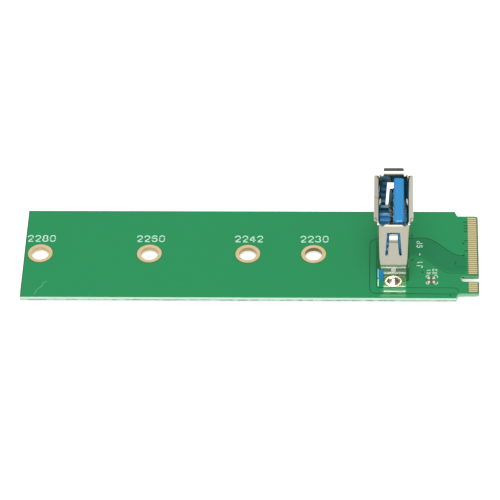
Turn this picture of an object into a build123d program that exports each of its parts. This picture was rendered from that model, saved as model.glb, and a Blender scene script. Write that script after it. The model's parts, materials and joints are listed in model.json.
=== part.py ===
from build123d import *

import os
from math import cos, radians, sin, tan

# Adapter card of gumstick form that brings a card-edge slot out on an upright nine-contact receptacle.
# +X points out of the card-edge tip, +Y across the card and +Z up through the receptacle's mouth.
# The origin is the centre of the tip's face, halfway through the card's thickness. Millimetres throughout.

# Card
card_thickness = 0.8
card_width = 22.0
end_margin = 2.9
screw_hole_distances = {"2230": 30.0, "2242": 42.0, "2260": 60.0, "2280": 80.0}
screw_hole_radius = 1.6
screw_ring_radius = 2.27
copper = 0.035
barrel_wall = 0.04
screw_barrel_wall = 0.2

# Card edge
tongue_width = 19.85
tongue_length = 3.75
shoulder_slope_length = 0.35
shoulder_radius = 0.25
tip_corner_radius = 0.5
tip_bevel = 0.12
position_pitch = 0.25
position_count = 75
keyed_positions = range(59, 67)
finger_width = 0.35
finger_length = 1.6
finger_setback = 0.28
key_notch_width = 1.2
key_notch_depth = 3.2
key_mouth_radius = 0.25

# Receptacle, measured from its own centre and from the card's upper face
receptacle_setback = 15.45
receptacle_offset = -0.3
mouth_across = 5.12
mouth_along = 12.5
sheet = 0.3
shell_corner_radius = 0.6
shell_rise = 14.1
lip_angle = 52.0
lip_bend_radius = 0.45
narrow_lip_reach = 0.96
wide_lip_reach = 0.7
lip_corner_radius = 0.55
wide_lip_length = 11.7
narrow_lip_length = 3.7
relief_radius = 0.18
leg_width = 1.7
leg_point_width = 1.1
leg_point_length = 0.5
leg_beyond_card = 1.0

# Seam in the back wall of the shell
seam_gap = 0.08
dovetail_neck = 1.2
dovetail_head = 1.9
dovetail_depth = 1.0
dovetail_height = 9.0

# Springs cut from the shell's walls
slot_width = 0.5
spring_bump = 0.5
spring_bump_rise = 0.65
spring_hook_rise = 0.22
spring_hook_bump = 0.3
spring_head = 1.85
spring_bend_radius = 0.2
narrow_spring = {"root": 6.9, "knee": 10.6, "tip_width": 1.3, "root_width": 1.95}
wide_spring = {"root": 5.7, "knee": 9.4, "tip_width": 1.1, "root_width": 1.7}
wide_spring_offset = 3.7

# Lanced tab in each narrow wall
tab_width = 0.95
tab_length = 0.95
tab_hinge_height = 3.45
tab_angle = 10.0
tab_slit = 0.12

# Insulator
mould_clearance = 0.05
foot_height = 3.0
foot_step = 0.1
foot_wrap = 1.1
base_height = 4.8
tongue_gap = 2.56
tongue_thickness = 1.84
tongue_span = 11.1
tongue_rise = 14.4
tongue_edge_radius = 0.4
tongue_top_chamfer = 0.2
floor_rib_pitch = 1.5
floor_rib_count = 8
floor_rib_width = 0.7
floor_rib_height = 0.6
floor_rib_gap = 0.9
relief_depth = 0.335
relief_margin = 0.15

# Contacts
row_spacing = 2.0
tail_width = 0.6
tail_beyond_card = 0.9
power_row = {"power": 3.5, "data_minus": 1.0, "data_plus": -1.0, "ground": -3.5}
high_speed_row = {
    "receive_minus": 4.0,
    "receive_plus": 2.0,
    "drain": 0.0,
    "transmit_minus": -2.0,
    "transmit_plus": -4.0,
}
spring_contact_width = 0.9
spring_contact_thickness = 0.22
spring_contact_depth = 0.4
spring_contact_bow = 0.6
spring_contact_apex = 9.3
spring_contact_end = 10.9
spring_contact_groove_end = 11.4
tail_crank_low = 2.0
tail_crank_high = 3.4
beam_root = 5.8
flat_contact_width = 0.6
flat_contact_thickness = 0.2
flat_contact_proud = 0.05
flat_contact_pad = 1.5
contact_bend_radius = 0.35
groove_clearance = 0.08

# Plated holes and solder
signal_hole_radius = 0.46
signal_pad_radius = 0.78
shield_hole_radius = 1.15
shield_ring_radius = 1.5
solder_setback = 0.15
solder_rise = 0.42
solder_edge = 0.02
solder_waist_rise = 0.12
joint_length = 0.75
joint_top_margin = 0.08

# Two empty chip places between the receptacle and the card edge
chip_place_setback = 8.62
chip_place_offset = -6.43
chip_place_pitch = 0.905
chip_pad_spacing = 1.05
chip_pad_across = 0.55
chip_pad_along = 0.6
chip_pad_tinning = 0.07
chip_pad_chamfer = 0.05

# Sizes that follow from those above
upper_face = card_thickness / 2
card_length = max(screw_hole_distances.values()) + end_margin
shell_across = mouth_across + 2 * sheet
shell_along = mouth_along + 2 * sheet
footprint_place = Pos(-receptacle_setback, receptacle_offset, 0)
receptacle_place = footprint_place * Pos(0, 0, upper_face)
leg_offset = shell_along / 2 - sheet / 2
pin_rows = {"power": power_row, "high_speed": high_speed_row}
row_offsets = {"power": -row_spacing / 2, "high_speed": row_spacing / 2}
tongue_face = tongue_gap - mouth_across / 2
leg_length = card_thickness + leg_beyond_card
tail_length = card_thickness + tail_beyond_card


def position_y(position):
    """Offset across the card of a numbered contact position, counted from the +Y side."""
    return position_pitch * ((position_count + 1) / 2 - position)


def rod(radius, low, high):
    """Upright cylinder between two heights."""
    return Pos(0, 0, low) * Cylinder(radius, high - low, align=(Align.CENTER, Align.CENTER, Align.MIN))


def block(x_range, y_range, z_range):
    """Box between two planes on each axis."""
    size = [high - low for low, high in (x_range, y_range, z_range)]
    corner = Pos(x_range[0], y_range[0], z_range[0])
    return corner * Box(*size, align=(Align.MIN, Align.MIN, Align.MIN))


def bent_strip(points, thickness, radius):
    """Side view of a bent sheet: its mid line rounded at each bend, then given its thickness."""
    return trace(FilletPolyline(*points, radius=radius), thickness)


def swept_across(side_view, width):
    """Sheet of a given width from its side view, drawn with +Y as x and +Z as y."""
    return extrude(Plane.YZ * side_view, width / 2, both=True)


def key_notch():
    """Slot open at the tip, with a round inner end, on the keyed positions."""
    middle = (keyed_positions[0] + keyed_positions[-1]) / 2
    round_end = key_notch_depth - key_notch_width / 2
    straight = Pos(-round_end / 2, 0) * Rectangle(round_end, key_notch_width)
    return Pos(0, position_y(middle)) * (straight + Pos(-round_end, 0) * Circle(key_notch_width / 2))


def card_outline():
    """Plan of the card: square left end, sloping shoulders and the narrower card edge."""
    half_card = card_width / 2
    half_tongue = tongue_width / 2
    shoulder = -tongue_length - shoulder_slope_length
    corners = [
        (-card_length, -half_card),
        (shoulder, -half_card),
        (-tongue_length, -half_tongue),
        (0, -half_tongue),
        (0, half_tongue),
        (-tongue_length, half_tongue),
        (shoulder, half_card),
        (-card_length, half_card),
    ]
    plan = make_face(Polyline(*corners, close=True))
    shoulder_corners = [v for v in plan.vertices() if abs(v.X + tongue_length) < 1e-6]
    plan = fillet(shoulder_corners, shoulder_radius)
    tip_corners = [v for v in plan.vertices() if abs(v.X) < 1e-6]
    plan = fillet(tip_corners, tip_corner_radius)
    plan -= key_notch()
    inside = half_tongue - 2 * tip_corner_radius
    mouth_corners = [v for v in plan.vertices() if abs(v.X) < 1e-6 and abs(v.Y) < inside]
    return fillet(mouth_corners, key_mouth_radius)


def signal_places(row):
    """Plan positions of one row of signal pins, from the receptacle's centre."""
    return [(row_offsets[row], y) for y in pin_rows[row].values()]


def drill(hole_radius, wall):
    """Drilled hole before plating, through the whole card."""
    return rod(hole_radius + wall, -card_thickness, card_thickness)


def circuit_board():
    """Laminate card with its card edge, fastening holes and plated pin holes."""
    card = Pos(0, 0, -upper_face) * extrude(card_outline(), card_thickness)
    tip_edges = [e for e in card.edges() if abs(e.center().X) < 1e-6 and e.length > card_thickness]
    card = chamfer(tip_edges, tip_bevel)
    for distance in screw_hole_distances.values():
        card -= Pos(-distance, 0, 0) * drill(screw_hole_radius, screw_barrel_wall)
    for side in (-1, 1):
        card -= footprint_place * Pos(0, side * leg_offset, 0) * drill(shield_hole_radius, barrel_wall)
    for row in pin_rows:
        for x, y in signal_places(row):
            card -= footprint_place * Pos(x, y, 0) * drill(signal_hole_radius, barrel_wall)
    return card


def edge_contacts(first_position, face):
    """Gold fingers on one face: every second position, without the keyed ones."""
    positions = [p for p in range(first_position, position_count + 1, 2) if p not in keyed_positions]
    x = -finger_setback - finger_length / 2
    z = face * (upper_face + copper / 2)
    fingers = []
    for position in positions:
        fingers.append(Pos(x, position_y(position), z) * Box(finger_length, finger_width, copper))
    return Compound(children=fingers)


def hole_plating(hole_radius, ring_radius, wall):
    """Copper barrel through the card with a flat ring on each face."""
    reach = upper_face + copper
    barrel = rod(hole_radius + wall, -reach, reach)
    ring = rod(ring_radius, upper_face, reach)
    lower_ring = rod(ring_radius, -reach, -upper_face)
    return barrel + ring + lower_ring - rod(hole_radius, -2 * reach, 2 * reach)


def signal_platings(row):
    """The plated holes of one row of signal pins."""
    plating = hole_plating(signal_hole_radius, signal_pad_radius, barrel_wall)
    return Compound(children=[footprint_place * Pos(x, y, 0) * plating for x, y in signal_places(row)])


def resistor_pads():
    """Four tinned pads, two for each chip place."""
    pads = []
    for column in (-0.5, 0.5):
        for end in (-0.5, 0.5):
            pad = Box(chip_pad_across, chip_pad_along, chip_pad_tinning)
            pad = chamfer(pad.faces().sort_by(Axis.Z)[-1].edges(), chip_pad_chamfer)
            x = -chip_place_setback + column * chip_place_pitch
            y = chip_place_offset + end * chip_pad_spacing
            pads.append(Pos(x, y, upper_face + chip_pad_tinning / 2) * pad)
    return Compound(children=pads)


def wall_places():
    """Each wall's outer face: a frame with x along the wall, -y outwards and z up."""
    return {
        "near": Pos(0, -shell_along / 2, 0),
        "far": Pos(0, shell_along / 2, 0) * Rot(0, 0, 180),
        "front": Pos(shell_across / 2, 0, 0) * Rot(0, 0, 90),
        "back": Pos(-shell_across / 2, 0, 0) * Rot(0, 0, -90),
    }


def flared_lip(length, reach):
    """Lip bent outwards from the top of a wall, its free corners rounded."""
    lean = radians(lip_angle)
    run = lip_bend_radius * tan(lean / 2)
    bend = shell_rise + run
    tip = (sheet / 2 - (run + reach) * sin(lean), bend + (run + reach) * cos(lean))
    points = [(sheet / 2, shell_rise - sheet), (sheet / 2, bend), tip]
    side_view = bent_strip(points, sheet, lip_bend_radius)
    lip = swept_across(side_view, length)
    top = lip.bounding_box().max.Z
    low = shell_rise - 2 * sheet
    front_view = Pos(0, (top + low) / 2) * Rectangle(length, top - low)
    front_view = fillet(front_view.vertices().group_by(Axis.Y)[-1], lip_corner_radius)
    return lip & extrude(Plane.XZ * front_view, 2 * reach, both=True)


def spring_outline(spring, margin):
    """Front view of a spring finger, narrowing upwards, grown sideways by a margin."""
    root_half = spring["root_width"] / 2 + margin
    tip_half = spring["tip_width"] / 2 + margin
    top = spring["knee"] + spring_head
    corners = [(-root_half, spring["root"]), (root_half, spring["root"]), (tip_half, top), (-tip_half, top)]
    return make_face(Polyline(*corners, close=True))


def spring_window(spring):
    """Opening round a spring finger, its two legs ending in half circles."""
    window = spring_outline(spring, slot_width)
    leg = spring["root_width"] / 2 + slot_width / 2
    for side in (-1, 1):
        window += Pos(side * leg, spring["root"]) * Circle(slot_width / 2)
    return extrude(Plane.XZ * window, sheet * 2, both=True)


def spring_finger(spring):
    """Finger rising from its root, bumped inwards, with its tip turned back to guide the plug in."""
    middle = sheet / 2
    apex = spring["knee"] + spring_bump_rise
    points = [
        (middle, spring["root"] - sheet),
        (middle, spring["knee"]),
        (middle + spring_bump, apex),
        (middle + spring_hook_bump, apex + spring_hook_rise),
    ]
    finger = swept_across(bent_strip(points, sheet, spring_bend_radius), 2 * spring["root_width"])
    outline = spring_outline(spring, 0)
    root = Pos(0, spring["root"] - sheet) * Rectangle(spring["root_width"], 2 * sheet)
    return finger & extrude(Plane.XZ * (outline + root), 4 * sheet, both=True)


def tab_outline(margin):
    """Front view of the lanced tab: straight at its hinge above, round below."""
    radius = tab_width / 2 + margin
    straight = tab_length - tab_width / 2
    plan = Pos(0, -straight / 2) * Rectangle(2 * radius, straight) + Pos(0, -straight) * Circle(radius)
    return Pos(0, tab_hinge_height) * plan


def lanced_tab():
    """Tab that leans outwards below its hinge."""
    lean = radians(tab_angle)
    middle = sheet / 2
    low = (middle - tab_length * sin(lean), tab_hinge_height - tab_length * cos(lean))
    points = [(middle, tab_hinge_height + sheet), (middle, tab_hinge_height), low]
    plate = swept_across(bent_strip(points, sheet, spring_bend_radius), tab_width)
    root = Pos(0, tab_hinge_height) * Rectangle(tab_width, 2 * sheet)
    return plate & extrude(Plane.XZ * (tab_outline(0) + root), 4 * sheet, both=True)


def tab_window():
    """Opening round the lanced tab, with a thin slit beside it."""
    return extrude(Plane.XZ * tab_outline(tab_slit), sheet * 2, both=True)


def soldered_leg():
    """Leg in the plane of a narrow wall, with a tapered point."""
    half = leg_width / 2
    point_half = leg_point_width / 2
    corners = [
        (-half, 2 * sheet),
        (-half, -leg_length + leg_point_length),
        (-point_half, -leg_length),
        (point_half, -leg_length),
        (half, -leg_length + leg_point_length),
        (half, 2 * sheet),
    ]
    return extrude(Plane.XZ * make_face(Polyline(*corners, close=True)), -sheet)


def seam_cut():
    """Thin cut down the back wall where the sheet's two ends meet, locked by one dovetail."""
    neck = dovetail_neck / 2
    head = dovetail_head / 2
    points = [
        (0, -sheet),
        (0, dovetail_height - neck),
        (dovetail_depth, dovetail_height - head),
        (dovetail_depth, dovetail_height + head),
        (0, dovetail_height + neck),
        (0, 2 * shell_rise),
    ]
    cut = extrude(Plane.XZ * trace(Polyline(*points), seam_gap), 2 * wide_lip_reach, both=True)
    through = (-2 * wide_lip_reach, 2 * sheet)
    return cut & block((-shell_along, shell_along), through, (-sheet, 2 * shell_rise))


def bend_relief(lip_length):
    """Two small round holes at the ends of a lip's bend."""
    reach = lip_length / 2 + relief_radius
    return [
        extrude(Plane.XZ * (Pos(side * reach, shell_rise) * Circle(relief_radius)), 2 * sheet, both=True)
        for side in (-1, 1)
    ]


def receptacle_shell():
    """One folded sheet: a tube with lips, springs, lanced tabs, seam and two legs."""
    outer = extrude(RectangleRounded(shell_across, shell_along, shell_corner_radius), shell_rise)
    inner = extrude(RectangleRounded(mouth_across, mouth_along, shell_corner_radius - sheet), shell_rise)
    along = (-shell_along, shell_along)
    shell = (outer - inner) & block((-shell_across, shell_across), along, (copper, shell_rise))
    shell -= block((-shell_across, -shell_across / 2 + foot_wrap), along, (0, foot_height))
    walls = wall_places()
    for name in ("near", "far"):
        shell -= walls[name] * (spring_window(narrow_spring) + tab_window())
        shell += walls[name] * spring_finger(narrow_spring)
        shell += walls[name] * lanced_tab()
        shell += walls[name] * soldered_leg()
        shell += walls[name] * flared_lip(narrow_lip_length, narrow_lip_reach)
    for name in ("front", "back"):
        for side in (-1, 1):
            place = walls[name] * Pos(side * wide_spring_offset, 0, 0)
            shell -= place * spring_window(wide_spring)
            shell += place * spring_finger(wide_spring)
        shell += walls[name] * flared_lip(wide_lip_length, wide_lip_reach)
    for name in ("near", "far"):
        shell -= [walls[name] * hole for hole in bend_relief(narrow_lip_length)]
    for name in ("front", "back"):
        shell -= [walls[name] * hole for hole in bend_relief(wide_lip_length)]
    shell -= walls["back"] * seam_cut()
    return receptacle_place * shell


def spring_contact(y):
    """Contact of the first row: tail, crank into the tongue's groove, and a beam bowed towards the plug."""
    row = row_offsets["power"]
    seat = tongue_face + spring_contact_depth
    half_thick = spring_contact_thickness / 2
    half_tail = tail_width / 2
    thick = (row - half_thick, row + half_thick)
    tail = block(thick, (-half_tail, half_tail), (-tail_length, tail_crank_low))
    beam_points = [
        (row, tail_crank_low - contact_bend_radius),
        (row, tail_crank_low),
        (seat, tail_crank_high),
        (seat, beam_root),
        (tongue_face - spring_contact_bow, spring_contact_apex),
        (seat, spring_contact_end),
    ]
    beam = trace(FilletPolyline(*beam_points, radius=contact_bend_radius), spring_contact_thickness)
    return Pos(0, y, 0) * (tail + extrude(Plane.XZ * beam, spring_contact_width / 2, both=True))


def flat_contact(y):
    """Contact of the second row: tail, strip moulded inside the tongue, and a flat pad near the mouth."""
    row = row_offsets["high_speed"]
    pad_line = tongue_face - flat_contact_proud + flat_contact_thickness / 2
    pad_top = tongue_rise - 2 * tongue_top_chamfer
    crank_high = pad_top - flat_contact_pad
    crank_low = crank_high - (row - pad_line)
    points = [(row, -tail_length), (row, crank_low), (pad_line, crank_high), (pad_line, pad_top)]
    strip = bent_strip(points, flat_contact_thickness, contact_bend_radius)
    return Pos(0, y, 0) * extrude(Plane.XZ * strip, flat_contact_width / 2, both=True)


def bare_contacts():
    """Every contact in the receptacle's own frame, keyed by name."""
    contacts = {name: spring_contact(y) for name, y in power_row.items()}
    contacts.update({name: flat_contact(y) for name, y in high_speed_row.items()})
    return contacts


def insulator_tongue():
    """Blade that carries the contacts, its upright edges rounded and its end chamfered."""
    blade = block(
        (tongue_face, tongue_face + tongue_thickness),
        (-tongue_span / 2, tongue_span / 2),
        (foot_height, tongue_rise),
    )
    blade = fillet(blade.edges().filter_by(Axis.Z), tongue_edge_radius)
    return chamfer(blade.faces().sort_by(Axis.Z)[-1].edges(), tongue_top_chamfer)


def floor_ribs():
    """Low ribs on the floor of the mouth, between the back wall and the contacts."""
    low_x = -mouth_across / 2 + mould_clearance
    high_x = tongue_face - floor_rib_gap
    ribs = []
    for index in range(floor_rib_count):
        y = floor_rib_pitch * (index - (floor_rib_count - 1) / 2)
        half = floor_rib_width / 2
        rib = block((low_x, high_x), (y - half, y + half), (foot_height, base_height + floor_rib_height))
        ribs.append(rib)
    return ribs


def receptacle_insulator(contacts):
    """One moulding: base inside the shell, foot in the shell's window, ribs and contact blade."""
    inside_x = mouth_across - 2 * mould_clearance
    inside_y = mouth_along - 2 * mould_clearance
    inner_radius = shell_corner_radius - sheet
    base_plan = RectangleRounded(inside_x, inside_y, inner_radius)
    moulding = extrude(base_plan, base_height)
    foot_plan = RectangleRounded(mouth_across + 2 * foot_step, mouth_along + 2 * foot_step, inner_radius)
    foot = extrude(foot_plan, foot_height - mould_clearance)
    foot_edge = -shell_across / 2 + foot_wrap - mould_clearance
    moulding += foot & block((-shell_across, foot_edge), (-shell_along, shell_along), (0, foot_height))
    for rib in floor_ribs():
        moulding += rib & extrude(base_plan, 2 * base_height)
    moulding += insulator_tongue()
    for side in (-1, 1):
        moulding -= Pos(0, side * leg_offset, 0) * rod(shield_ring_radius + relief_margin, 0, relief_depth)
    for row, pins in pin_rows.items():
        margin = signal_pad_radius + relief_margin
        reach = max(abs(y) for y in pins.values()) + margin
        x = row_offsets[row]
        moulding -= block((x - margin, x + margin), (-reach, reach), (0, relief_depth))
    for y in power_row.values():
        half = spring_contact_width / 2 + groove_clearance
        back = tongue_face + spring_contact_depth + spring_contact_thickness / 2
        moulding -= block((0, back), (y - half, y + half), (base_height, spring_contact_groove_end))
    for contact in contacts.values():
        moulding -= contact
    return receptacle_place * moulding


def pin_joint(x, y, contact):
    """Solder that fills one signal hole and climbs its tail below the card."""
    reach = upper_face + copper
    fill = rod(signal_hole_radius, -reach, reach)
    low = signal_pad_radius - solder_setback / 2
    high = tail_width / 2 + joint_top_margin
    cone = Pos(0, 0, -reach - joint_length / 2) * Cone(high, low, joint_length)
    return footprint_place * Pos(x, y, 0) * (fill + cone) - receptacle_place * contact


def signal_joints(row, contacts):
    """The solder joints of one row of pins."""
    return Compound(
        children=[pin_joint(row_offsets[row], y, contacts[name]) for name, y in pin_rows[row].items()]
    )


def solder_section(foot_radius):
    """Half section of a hollow-sided solder cone, standing on its foot."""
    foot = (foot_radius, solder_edge)
    crown = (sheet, solder_rise)
    hollow = ThreePointArc(foot, (foot_radius / 2, solder_waist_rise), crown)
    return make_face(hollow + Polyline(crown, (0, solder_rise), (0, 0), (foot_radius, 0), foot))


def shield_joint(side, shell):
    """Solder round one leg: it fills the hole, climbs the leg below and the wall's outer face above."""
    reach = upper_face + copper
    foot_radius = shield_ring_radius - solder_setback
    cone = revolve(Plane.XZ * solder_section(foot_radius), Axis.Z)
    outer_face = sorted((side * sheet / 2, side * 2 * foot_radius))
    outside = block((-foot_radius, foot_radius), outer_face, (0, reach + solder_rise))
    upper = (Pos(0, 0, reach) * cone) & outside
    lower = Pos(0, 0, -reach) * Rot(180, 0, 0) * cone
    joint = rod(shield_hole_radius, -reach, reach) + upper + lower
    return footprint_place * Pos(0, side * leg_offset, 0) * joint - shell


contacts = bare_contacts()
shell = receptacle_shell()

shield_plating = hole_plating(shield_hole_radius, shield_ring_radius, barrel_wall)
screw_plating = hole_plating(screw_hole_radius, screw_ring_radius, screw_barrel_wall)

nodes = {
    "circuit_board": circuit_board(),
    "edge_contacts_top": edge_contacts(1, 1),
    "edge_contacts_bottom": edge_contacts(2, -1),
    "shield_hole_plating_near": footprint_place * Pos(0, -leg_offset, 0) * shield_plating,
    "shield_hole_plating_far": footprint_place * Pos(0, leg_offset, 0) * shield_plating,
    "hole_platings_power_row": signal_platings("power"),
    "hole_platings_high_speed_row": signal_platings("high_speed"),
    "resistor_pads": resistor_pads(),
    "receptacle_shell": shell,
    "receptacle_insulator": receptacle_insulator(contacts),
    "shield_solder_near": shield_joint(-1, shell),
    "shield_solder_far": shield_joint(1, shell),
    "solder_joints_power_row": signal_joints("power", contacts),
    "solder_joints_high_speed_row": signal_joints("high_speed", contacts),
}
for mark, distance in screw_hole_distances.items():
    nodes[f"screw_hole_plating_{mark}"] = Pos(-distance, 0, 0) * screw_plating
for name, contact in contacts.items():
    nodes[f"contact_{name}"] = receptacle_place * contact

os.makedirs("parts", exist_ok=True)
for name, solid in nodes.items():
    export_step(solid, f"parts/{name}.step")
print(f"{len(nodes)} nodes, card {card_length:.2f} x {card_width:.2f} x {card_thickness:.2f} mm")
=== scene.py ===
# %% [markdown]
# # A gumstick adapter card, dressed for the camera
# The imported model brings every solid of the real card: laminate, plated holes, gold fingers, folded
# shell, blue moulding and contacts. This lesson adds what a solid can't hold: the look of solder mask,
# nickel and nylon, the etched lines under the mask and the white print.

# %% Load the frame
import json
from math import cos, pi, radians, sin

import bpy
import numpy as np
from mathutils import Matrix, Vector


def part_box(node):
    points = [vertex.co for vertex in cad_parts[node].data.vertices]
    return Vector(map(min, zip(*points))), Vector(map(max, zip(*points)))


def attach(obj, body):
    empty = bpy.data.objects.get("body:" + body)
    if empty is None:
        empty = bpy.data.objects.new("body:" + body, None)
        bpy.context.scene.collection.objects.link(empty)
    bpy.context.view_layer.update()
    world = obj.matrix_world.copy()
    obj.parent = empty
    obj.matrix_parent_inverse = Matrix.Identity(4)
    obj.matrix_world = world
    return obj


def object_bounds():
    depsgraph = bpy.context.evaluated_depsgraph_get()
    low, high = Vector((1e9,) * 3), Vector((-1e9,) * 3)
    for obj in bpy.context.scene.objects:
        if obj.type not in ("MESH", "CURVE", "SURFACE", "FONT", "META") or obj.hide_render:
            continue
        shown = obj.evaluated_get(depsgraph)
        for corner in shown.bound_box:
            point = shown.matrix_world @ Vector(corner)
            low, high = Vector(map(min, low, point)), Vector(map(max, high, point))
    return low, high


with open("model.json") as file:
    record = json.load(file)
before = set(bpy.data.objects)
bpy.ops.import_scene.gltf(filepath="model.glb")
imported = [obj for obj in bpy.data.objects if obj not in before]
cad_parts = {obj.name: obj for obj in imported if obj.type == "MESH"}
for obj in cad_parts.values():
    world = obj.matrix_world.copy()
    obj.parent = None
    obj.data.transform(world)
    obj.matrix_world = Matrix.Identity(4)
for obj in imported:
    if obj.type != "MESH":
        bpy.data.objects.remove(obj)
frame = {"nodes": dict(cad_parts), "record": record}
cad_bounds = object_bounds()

MM = 0.001
MICRON = 0.000001
nodes = frame["nodes"]
print("nodes loaded:", len(nodes))

# %% [markdown]
# ## Places that the looks share
# Colours, stains and print follow the card, so the places that they share come from the model: the
# card's outline and top, the shell's top, and the mounts that the record states. Only what the record
# doesn't state, such as the key notch and the empty chip pads, is written here. All are millimetres.

# %% Places on the card
mounts = {mount["name"]: [value / MM for value in mount["pos_m"]] for mount in frame["record"]["mounts"]}
RECEPTACLE_X, RECEPTACLE_Y = mounts["receptacle_mouth"][:2]
HOLE_PLACES = [place[0] for name, place in mounts.items() if name.startswith("screw_hole")]
CARD_END, CARD_SIDE = round(cad_bounds[0][0] / MM, 3), round(cad_bounds[1][1] / MM, 3)
CARD_TOP = round(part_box("circuit_board")[1][2] / MM, 3)
SHELL_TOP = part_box("receptacle_shell")[1][2] / MM
NOTCH_Y = -6.125
PAD_MIDDLE, PAD_OFFSET = (-8.62, -6.43), (0.4525, 0.525)
print("receptacle at", RECEPTACLE_X, RECEPTACLE_Y, "holes at", HOLE_PLACES)

# %% [markdown]
# ## Camera
# The photograph was taken from a little over half a metre away with a long lens, 45 degrees above the
# card and square to its long side. Azimuth, elevation and roll were fitted to the holes and corners
# of the card, so they are given as angles here and turned into the camera's three axes.

# %% Place the camera
AZIMUTH, ELEVATION, ROLL = radians(3.586), radians(45.474), radians(-2.39)
AIM = Vector((-41.683, 1.786, -0.4)) * MM
DISTANCE = 601.6 * MM
NEAREST_SEEN = 10 * MM
SENSOR_WIDTH = 36.0
FOCAL_PIXELS, PHOTO_PIXELS = 3288.3, 500

backward = Vector((sin(AZIMUTH) * cos(ELEVATION), -cos(AZIMUTH) * cos(ELEVATION), sin(ELEVATION)))
level_right = Vector((cos(AZIMUTH), sin(AZIMUTH), 0))
level_up = backward.cross(level_right)
right = level_right * cos(ROLL) + level_up * sin(ROLL)
up = level_up * cos(ROLL) - level_right * sin(ROLL)

camera_data = bpy.data.cameras.new("camera")
camera_data.sensor_width = SENSOR_WIDTH
camera_data.lens = FOCAL_PIXELS / PHOTO_PIXELS * SENSOR_WIDTH
camera_data.clip_start = NEAREST_SEEN
camera = bpy.data.objects.new("camera", camera_data)
camera_place = Matrix((right, up, backward)).transposed().to_4x4()
camera_place.translation = AIM + backward * DISTANCE
camera.matrix_world = camera_place
bpy.context.scene.collection.objects.link(camera)
bpy.context.scene.camera = camera
bpy.context.scene.view_settings.view_transform = "Standard"
print("camera at", [round(v, 4) for v in camera_place.translation])

# %% [markdown]
# ## Small helpers for shader nodes
# A material is a graph. These helpers add one node and join its inputs in the same call, so a formula
# reads from the inside out, much as it would on paper.

# %% Node helpers
def add_node(tree, kind, inputs=(), **settings):
    """Adds a shader node, sets its settings, then joins or fills its inputs by name or number."""
    node = tree.nodes.new(kind)
    for key, value in settings.items():
        setattr(node, key, value)
    for key, value in dict(inputs).items():
        if isinstance(value, bpy.types.NodeSocket):
            tree.links.new(value, node.inputs[key])
        else:
            node.inputs[key].default_value = value
    return node


def maths(tree, operation, *values, clamp=False):
    """One Math node on up to three values or sockets."""
    inputs = dict(enumerate(values))
    return add_node(tree, "ShaderNodeMath", inputs, operation=operation, use_clamp=clamp).outputs[0]


def product(tree, first, *others):
    """Values multiplied together, such as masks that all have to hold."""
    for other in others:
        first = maths(tree, "MULTIPLY", first, other)
    return first


def greatest(tree, first, *others):
    """The largest of some values, such as masks of which any may hold."""
    for other in others:
        first = maths(tree, "MAXIMUM", first, other)
    return first


def away_from(tree, value, middle):
    """Distance of a value from a middle, on either side of it."""
    return maths(tree, "ABSOLUTE", maths(tree, "SUBTRACT", value, middle))


def smooth_step(tree, value, low, high, start=0.0, end=1.0):
    """Goes smoothly from start to end while the value goes from low to high: t*t*(3 - 2t)."""
    inputs = {"Value": value, "From Min": low, "From Max": high, "To Min": start, "To Max": end}
    return add_node(tree, "ShaderNodeMapRange", inputs, interpolation_type="SMOOTHSTEP").outputs[0]


def falling_step(tree, value, low, high, start=1.0):
    """Goes smoothly from start to 0 while the value goes from low to high."""
    return smooth_step(tree, value, low, high, start, 0.0)


print("helpers for numbers ready")

# %% [markdown]
# ## Helpers for colours and patterns
# Paint, stain, wear and painted light or shade are all coats: a colour that lies over what is there as far
# as its mask allows.
# Every mask is worked out from the place on the object, so that a pattern stays where it is from any
# side.

# %% Colour and pattern helpers
def blended(tree, factor, first, second):
    """Colour that goes from first to second as the factor goes from 0 to 1."""
    node = add_node(tree, "ShaderNodeMix", {0: factor, 6: first, 7: second}, data_type="RGBA")
    return node.outputs[2]


def coated(tree, colour, *coats):
    """A colour under coats, each given as its mask and its own colour."""
    for mask, coat in coats:
        colour = blended(tree, mask, colour, coat)
    return colour


def noise(tree, place, scale, detail=3.0, roughness=0.5):
    """Fractal noise between 0 and 1, about 0.5 on average."""
    inputs = {"Vector": place, "Scale": scale, "Detail": detail, "Roughness": roughness}
    return add_node(tree, "ShaderNodeTexNoise", inputs).outputs["Fac"]


def bump(tree, height, distance):
    """Normal bent by a height that is given as a share of the distance, in metres."""
    return add_node(tree, "ShaderNodeBump", {"Height": height, "Distance": distance}).outputs["Normal"]


def object_place(tree):
    """The place on the object, in metres."""
    return tree.nodes.new("ShaderNodeTexCoord").outputs["Object"]


def millimetres(tree, place):
    """The x, y and z of a place, in millimetres."""
    inputs = {0: place, 1: (1 / MM, 1 / MM, 1 / MM)}
    scaled = add_node(tree, "ShaderNodeVectorMath", inputs, operation="MULTIPLY").outputs[0]
    return add_node(tree, "ShaderNodeSeparateXYZ", {0: scaled}).outputs


print("helpers for colours ready")

# %% [markdown]
# ## Materials and groups
# A material has one Principled shader. What is the same all over is set on the shader's own sockets,
# and only what changes over the surface is joined to them. An effect that several finishes share is a
# node group, which is built once.

# %% Material and group helpers
def new_material(name, **shader):
    """Material with one Principled shader, whose plain values are set on its own sockets."""
    material = bpy.data.materials.new(name)
    material.use_nodes = True
    sockets = material.node_tree.nodes["Principled BSDF"].inputs
    for label, value in shader.items():
        sockets[label.replace("_", " ")].default_value = value
    return material, material.node_tree, sockets


def new_group(name, inputs, output):
    """Empty shader node group. Its inputs are given as (kind, name, default), and it puts out one number."""
    tree = bpy.data.node_groups.new(name, "ShaderNodeTree")
    for kind, label, default in inputs:
        socket = tree.interface.new_socket(label, in_out="INPUT", socket_type=kind)
        if default is not None:
            socket.default_value = default
    tree.interface.new_socket(output, in_out="OUTPUT", socket_type="NodeSocketFloat")
    return tree, tree.nodes.new("NodeGroupInput").outputs, tree.nodes.new("NodeGroupOutput").inputs


def use_group(tree, group, inputs):
    """Places a node group in a material and gives its output."""
    return add_node(tree, "ShaderNodeGroup", inputs, node_tree=group).outputs[0]


print("helpers for materials ready")

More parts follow.
